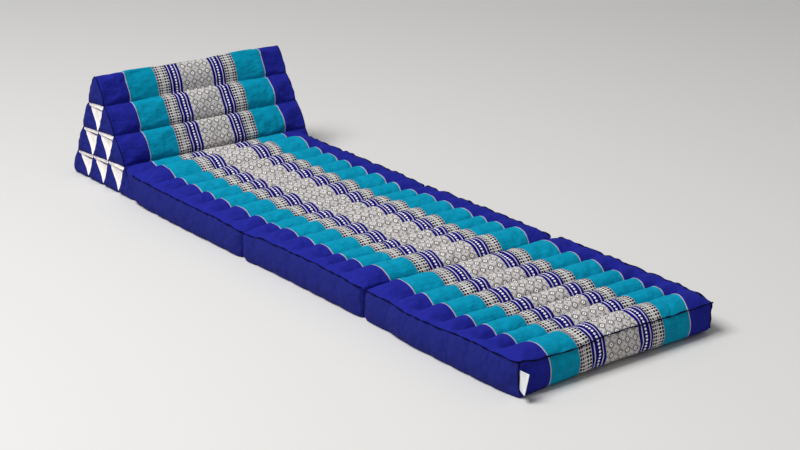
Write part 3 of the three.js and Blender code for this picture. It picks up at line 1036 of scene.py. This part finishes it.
def lattice_group():
    """Middle band: diamonds on a repeat, by the distance from each repeat's middle.

    Straight is the sum of the distances both ways, so its lines are diamonds and the repeat's
    corners hold small ones; Round blends it with the plain distance, for the large motifs."""
    tree, w, given, result = group_tree(
        "diamond_lattice",
        [("Pattern", "NodeSocketVector"), ("Across", "NodeSocketFloat"), ("Along", "NodeSocketFloat")],
        [("Straight", "NodeSocketFloat"), ("Round", "NodeSocketFloat")])
    u, v, _ = w.split(given["Pattern"])
    x = w.math("SUBTRACT", w.math("FRACT", w.math("DIVIDE", v, given["Across"])), 0.5)
    y = w.math("SUBTRACT", w.math("FRACT", w.math("DIVIDE", u, given["Along"])), 0.5)
    straight = w.math("ADD", w.math("ABSOLUTE", x), w.math("ABSOLUTE", y))
    plain = w.math("SQRT", w.math("ADD", w.math("MULTIPLY", x, x), w.math("MULTIPLY", y, y)))
    w.put(result["Straight"], straight)
    w.put(result["Round"], w.math("MULTIPLY_ADD", plain, 0.20, w.math("MULTIPLY", straight, 0.89)))
    return tree


def place_group(w, tree, **values):
    """Puts a node group in a material, with its values, and returns its outputs."""
    made = w.node("ShaderNodeGroup")
    made.node_tree = tree
    for key, value in values.items():
        w.put(made.inputs[key], value)
    return made.outputs


def new_material(name):
    """Makes a material with its shader and output, and returns its wiring and shader sockets."""
    material = bpy.data.materials.new(name)
    material.use_nodes = True
    material.node_tree.nodes.clear()
    w = Wiring(material.node_tree)
    shader = w.node("ShaderNodeBsdfPrincipled")
    out = w.node("ShaderNodeOutputMaterial")
    w.put(out.inputs[0], shader.outputs[0])
    return w, shader.inputs


def cloth_finish(w, shader, base, groups):
    """The weave's shade, the slubs' tone with the crumples' painted shade, and relief over a base colour.
    """
    thread = bpy.context.scene.cushion_sizes.thread
    weave = place_group(w, groups["weave"], Pattern=w.pattern(), Thread=thread)
    shade = w.math("MULTIPLY_ADD", weave["Shade"], *CLOTH["shade"])
    toned = w.mix(1.0, base, w.combine(shade, shade, shade), "MULTIPLY")
    w.put(shader["Base Color"], toned)
    w.put(shader["Roughness"], w.math("MULTIPLY_ADD", weave["Shade"], *CLOTH["rough"]))
    w.relief(shader, weave["Height"], CLOTH["bump"], CLOTH["height"])


def stripe_dots(w, u, a):
    """1 in the oval dots along the middle of the navy stripes."""
    wide, tall = (size / 1000 for size in PATTERN["dot"])
    pitch = PATTERN["dot_pitch"] / 1000
    along = w.math("SUBTRACT", w.math("FRACT", w.math("DIVIDE", u, pitch)), 0.5)
    along = w.math("MULTIPLY", along, pitch / tall)
    across = w.math("DIVIDE", w.math("SUBTRACT", a, PATTERN["dot_line"] / 1000), wide)
    square = w.math("ADD", w.math("MULTIPLY", along, along), w.math("MULTIPLY", across, across))
    return w.math("LESS_THAN", square, 1.0)


def check_dashes(w, u, a):
    """1 in the dark dashes: rows along the cloth, in columns across the check, one left plain."""
    start, stop = (place / 1000 for place in PATTERN["check"])
    column = w.math("MULTIPLY", w.math("SUBTRACT", a, start), PATTERN["columns"] / (stop - start))
    number = w.math("FLOOR", column)
    row = w.math("FRACT", w.math("DIVIDE", u, PATTERN["dot_pitch"] / 1000))
    dash = w.math("MULTIPLY", w.between(w.math("FRACT", column), *PATTERN["dash_wide"]),
                  w.between(row, *PATTERN["dash_tall"]))
    plain = w.between(number, PATTERN["plain_column"] - 0.5, PATTERN["plain_column"] + 0.5)
    dash = w.math("MULTIPLY", dash, w.math("MULTIPLY_ADD", plain, -0.40, 1.0))
    return w.math("MULTIPLY", dash, w.between(a, start, stop))


def banded_cloth(groups):
    """The woven cloth: bands by the distance from the middle line, in metres, mirrored."""
    colours = bpy.context.scene.cushion_colours
    w, shader = new_material("banded_cloth")
    pattern = w.pattern()
    u, v, _ = w.split(pattern)
    a = w.math("ABSOLUTE", v)
    yarns = {name: rgba(getattr(colours, name)) for name in CushionColours.__annotations__}
    stops = [(place / 1000 / BANDS_REACH, yarns[yarn]) for place, yarn in BANDS]
    base = w.ramp(w.math("DIVIDE", a, BANDS_REACH), stops)
    base = w.mix(stripe_dots(w, u, a), base, yarns["bright"])
    base = w.mix(check_dashes(w, u, a), base, yarns["dark"])

    across, along = (size / 1000 for size in PATTERN["diamond"])
    lattice = place_group(w, groups["lattice"], Pattern=pattern, Across=across, Along=along)
    ground, dark = yarns["ground"], yarns["dark"]
    outline, line, soft = (
        [mix(g, d, share) for g, d in zip(ground, dark)] for share in (1.0, 0.72, 0.16))
    small = w.ramp(lattice["Straight"], [
        (0.0, ground), (0.455, line), (0.545, ground), (0.70, soft), (0.78, ground), (0.89, line)])
    large = w.ramp(lattice["Round"], [
        (0.0, outline), (0.09, yarns["bright"]), (0.21, soft), (0.295, outline)])
    diamonds = w.mix(w.math("LESS_THAN", lattice["Round"], 0.405), small, large)
    middle = BANDS[1][0] / 1000
    base = w.mix(w.math("LESS_THAN", a, middle), base, diamonds)
    cloth_finish(w, shader, base, groups)
    shader["Specular IOR Level"].default_value = DULL


def plain_cloth(name, dye, groups, sheen):
    """Cloth of one colour with the same weave."""
    w, shader = new_material(name)
    cloth_finish(w, shader, rgba(dye), groups)
    shader["Sheen Weight"].default_value = sheen


def overlock_thread():
    """Navy overlock stitches: slanting ridges along a seam, with painted shade in their grooves and a
    painted highlight on their crests.
    """
    navy = bpy.context.scene.cushion_colours.navy
    w, shader = new_material("overlock_thread")
    u, v, _ = w.split(w.pattern())
    along, across = OVERLOCK["slant"]
    slant = w.math("ADD", w.math("MULTIPLY", u, along), w.math("MULTIPLY", v, across))
    ridge = w.math("MULTIPLY_ADD", w.math("SINE", slant), 0.5, 0.5)
    # The grooves take a tenth of the navy and the crests three tenths: painted shade and a painted
    # highlight, both darker than the thread's navy as painted shade of the seam's crease
    dark, lit = (rgba([channel * share for channel in navy]) for share in OVERLOCK["yarn"])
    w.put(shader["Base Color"], w.mix(ridge, dark, lit))
    w.put(shader["Roughness"], w.math("MULTIPLY_ADD", ridge, *OVERLOCK["rough"]))
    shader["Specular IOR Level"].default_value = DULL
    w.relief(shader, ridge, OVERLOCK["bump"], OVERLOCK["height"])


def make_materials():
    """All the object's materials."""
    colours = bpy.context.scene.cushion_colours
    groups = {"weave": weave_group(), "lattice": lattice_group()}
    banded_cloth(groups)
    plain_cloth("undyed_cotton", colours.cotton, groups, 0.1)
    plain_cloth("blank_tape", colours.tape, groups, 0.0)
    overlock_thread()


def dress(piece, name):
    """Gives a piece its material; the first call makes them all."""
    if "banded_cloth" not in bpy.data.materials:
        make_materials()
    piece.data.materials.append(bpy.data.materials[name])


class CUSHION_OT_back_rest(bpy.types.Operator):
    """Makes the stuffed triangular back rest"""

    bl_idname = "cushion.back_rest"
    bl_label = "Back rest"

    def execute(self, context):
        piece = make_back_rest()
        dress(piece, "banded_cloth")
        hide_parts("triangle_back_rest")
        return {"FINISHED"}


class CUSHION_OT_mats(bpy.types.Operator):
    """Makes the three channelled mats"""

    bl_idname = "cushion.mats"
    bl_label = "Mats"

    def execute(self, context):
        for row in MATS:
            piece = make_mat(row)
            dress(piece, "banded_cloth")
            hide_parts(row["name"])
        return {"FINISHED"}


class CUSHION_OT_stuffing(bpy.types.Operator):
    """Swells the cushions' cloth between their seams"""

    bl_idname = "cushion.stuffing"
    bl_label = "Stuffing"

    def execute(self, context):
        names = ["cushion_back_rest", *(f"cushion_{row['name']}" for row in MATS)]
        pieces = [bpy.data.objects[name] for name in names]
        stuff(pieces)
        for piece in pieces:
            finish_cloth(piece)
        return {"FINISHED"}


class CUSHION_OT_gussets(bpy.types.Operator):
    """Makes the white gussets between the tube ends"""

    bl_idname = "cushion.gussets"
    bl_label = "Gussets"

    def execute(self, context):
        cells = [(corners, front) for up, front, corners in rest_cells() if not up]
        for side, end in (("near", -1), ("far", 1)):
            for number, (corners, front) in enumerate(cells, start=1):
                node = f"gusset_{side}_{number}"
                piece = make_gusset(node, corners, front, end)
                dress(piece, "undyed_cotton")
                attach(piece, "root")
                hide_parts(node)
        return {"FINISHED"}


class CUSHION_OT_seams(bpy.types.Operator):
    """Makes the overlocked edge seams"""

    bl_idname = "cushion.seams"
    bl_label = "Edge seams"

    def execute(self, context):
        for piece in [rest_seams(), *(mat_seams(row) for row in MATS)]:
            dress(piece, "overlock_thread")
            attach(piece, "root")
        return {"FINISHED"}


class CUSHION_OT_label(bpy.types.Operator):
    """Makes the blank label in the corner seam"""

    bl_idname = "cushion.label"
    bl_label = "Label"

    def execute(self, context):
        piece = make_label()
        dress(piece, "blank_tape")
        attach(piece, "root")
        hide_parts("label")
        return {"FINISHED"}


class CUSHION_OT_stage(bpy.types.Operator):
    """Makes the floor, the light and the camera"""

    bl_idname = "cushion.stage"
    bl_label = "Stage"

    def execute(self, context):
        scene, stage = context.scene, context.scene.cushion_stage
        mesh = bpy.data.meshes.new("floor")
        reach = FLOOR["reach"]
        mesh.from_pydata([(-reach, -reach, 0), (reach, -reach, 0), (reach, reach, 0),
                          (-reach, reach, 0)], [], [(0, 1, 2, 3)])
        floor = bpy.data.objects.new("floor", mesh)
        scene.collection.objects.link(floor)
        _, shader = new_material("pale_floor")
        shader["Base Color"].default_value = rgba(stage.floor)
        shader["Roughness"].default_value = FLOOR["roughness"]
        mesh.materials.append(bpy.data.materials["pale_floor"])

        lamp = bpy.data.lights.new("key", "AREA")
        lamp.energy, lamp.size = stage.key, KEY["size"]
        light = bpy.data.objects.new("key", lamp)
        light.location = KEY["place"]
        away = np.array(KEY["place"])
        light.rotation_euler = (
            math.atan2(math.hypot(away[0], away[1]), away[2]), 0,
            math.atan2(away[1], away[0]) + math.pi / 2)
        scene.collection.objects.link(light)
        world = bpy.data.worlds.new("room")
        world.use_nodes = True
        background = world.node_tree.nodes["Background"]
        background.inputs["Color"].default_value = ROOM
        background.inputs["Strength"].default_value = stage.sky
        scene.world = world
        scene.view_settings.view_transform = "Standard"

        data = bpy.data.cameras.new("camera")
        data.lens, data.sensor_width = CAMERA["lens"], CAMERA["sensor"]
        camera = bpy.data.objects.new("camera", data)
        camera.location = to_world(CAMERA["place"])
        camera.rotation_euler = (
            math.radians(90 - CAMERA["down"]), 0, math.radians(CAMERA["turn"]))
        scene.collection.objects.link(camera)
        scene.camera = camera
        return {"FINISHED"}


class CUSHION_PT_panel(bpy.types.Panel):
    """Lists the cushion's pieces in the sidebar"""

    bl_label = "Thai cushion"
    bl_idname = "CUSHION_PT_panel"
    bl_space_type = "VIEW_3D"
    bl_region_type = "UI"
    bl_category = "Thai cushion"

    def draw(self, context):
        layout = self.layout
        for group in (context.scene.cushion_sizes, context.scene.cushion_colours,
                      context.scene.cushion_stage):
            for name in group.__annotations__:
                layout.prop(group, name)
        for operator in OPERATORS:
            layout.operator(operator.bl_idname)


GROUPS = (CushionSizes, CushionColours, CushionStage)
OPERATORS = (CUSHION_OT_back_rest, CUSHION_OT_mats, CUSHION_OT_stuffing, CUSHION_OT_gussets,
             CUSHION_OT_seams, CUSHION_OT_label, CUSHION_OT_stage)


def register():
    for item in (*GROUPS, *OPERATORS, CUSHION_PT_panel):
        bpy.utils.register_class(item)
    bpy.types.Scene.cushion_sizes = PointerProperty(type=CushionSizes)
    bpy.types.Scene.cushion_colours = PointerProperty(type=CushionColours)
    bpy.types.Scene.cushion_stage = PointerProperty(type=CushionStage)


def unregister():
    for name in ("cushion_sizes", "cushion_colours", "cushion_stage"):
        delattr(bpy.types.Scene, name)
    for item in reversed((*GROUPS, *OPERATORS, CUSHION_PT_panel)):
        bpy.utils.unregister_class(item)


def main():
    """Registers the add-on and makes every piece."""
    register()
    bpy.ops.cushion.back_rest()
    bpy.ops.cushion.mats()
    bpy.ops.cushion.stuffing()
    bpy.ops.cushion.gussets()
    bpy.ops.cushion.seams()
    bpy.ops.cushion.label()
    bpy.ops.cushion.stage()


if __name__ == "__main__":
    main()
